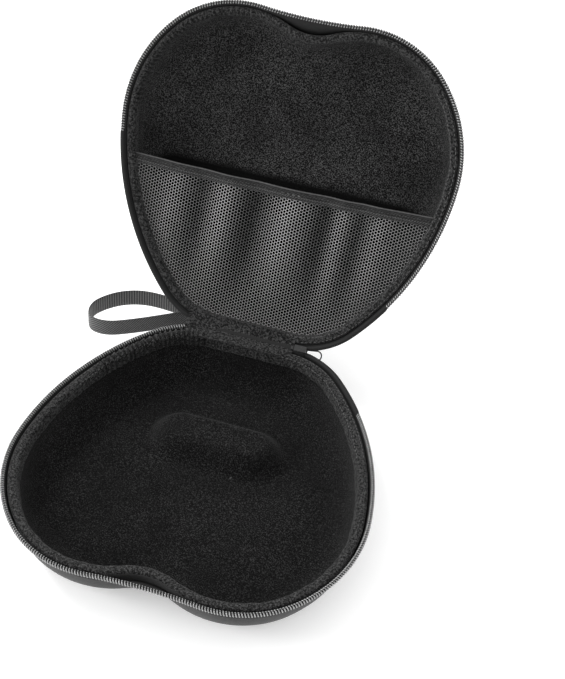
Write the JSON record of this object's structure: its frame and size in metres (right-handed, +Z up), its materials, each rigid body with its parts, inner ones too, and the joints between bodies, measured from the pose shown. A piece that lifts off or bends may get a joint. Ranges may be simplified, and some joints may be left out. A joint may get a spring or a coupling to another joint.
{
  "type": "headphone carrying case",
  "caption": "Rounded two-lobed hard-shell carrying case with a zip, fleece lining, a net pocket in the hinged lid and a webbing carry loop.",
  "frame": {"origin": "middle of the flat underside of the base, on the surface that the case stands on", "axes": "+Z up, +X along the hinge, +Y from the nose of the case to the hinge"},
  "size_m": [0.2154, 0.3129, 0.2193],
  "materials": {
    "outer_fabric": "matte",
    "foam": "matte",
    "lining_fleece": "matte",
    "binding_tape": "matte",
    "zip_tape": "matte",
    "zip_coil": "gloss",
    "zip_metal": "satin",
    "pull_wire": "satin",
    "net": "matte",
    "pocket_band": "satin",
    "elastic": "matte",
    "webbing": "matte"
  },
  "bodies": {
    "base": {"base_cover": "outer_fabric", "base_foam": "foam", "base_lining": "lining_fleece", "base_binding": "binding_tape", "base_zip_tape": "zip_tape", "base_zip_coil": "zip_coil", "base_zip_stop": "zip_metal", "hinge_strip_base": "outer_fabric", "hinge_tape_base": "binding_tape", "carry_loop_anchor": "webbing"},
    "lid": {"lid_cover": "outer_fabric", "lid_foam": "foam", "lid_lining": "lining_fleece", "lid_binding": "binding_tape", "lid_zip_tape": "zip_tape", "lid_zip_coil": "zip_coil", "lid_zip_stop": "zip_metal", "hinge_strip_lid": "outer_fabric", "hinge_tape_lid": "binding_tape", "pocket_net": "net", "pocket_hem": "pocket_band", "pocket_elastic": "elastic"},
    "zip_end": {"zip_bottom_stop": "zip_metal"},
    "slider": {"zip_slider": "zip_metal", "slider_bail": "zip_metal"},
    "pull": {"zip_pull": "pull_wire"},
    "loop": {"carry_loop": "webbing"}
  },
  "joints": [
    {"name": "lid_hinge", "type": "hinge", "parent": "base", "child": "lid", "pos_m": [0, 0.1008, 0.036], "axis": [1, 0, 0], "range_deg": [0, 115.7]},
    {"name": "zip_end_tilt", "type": "hinge", "parent": "base", "child": "zip_end", "pos_m": [0, 0.1008, 0.036], "axis": [1, 0, 0], "range_deg": [0, 57.85]},
    {"name": "slider_travel", "type": "slide", "parent": "zip_end", "child": "slider", "axis": [1, 0, 0], "range_m": [0, 0.008]},
    {"name": "pull_swing", "type": "hinge", "parent": "slider", "child": "pull", "pos_m": [0.0332, 0.10383, 0.03117], "axis": [0, 0.8467, 0.5321], "range_deg": [0, 165]},
    {"name": "loop_swing", "type": "hinge", "parent": "base", "child": "loop", "pos_m": [-0.0086, 0.10175, 0.026], "axis": [0, 0, 1], "range_deg": [-35, 5]}
  ],
  "couplings": [
    {"joint": "zip_end_tilt", "follows": "lid_hinge", "ratio": 0.5}
  ]
}
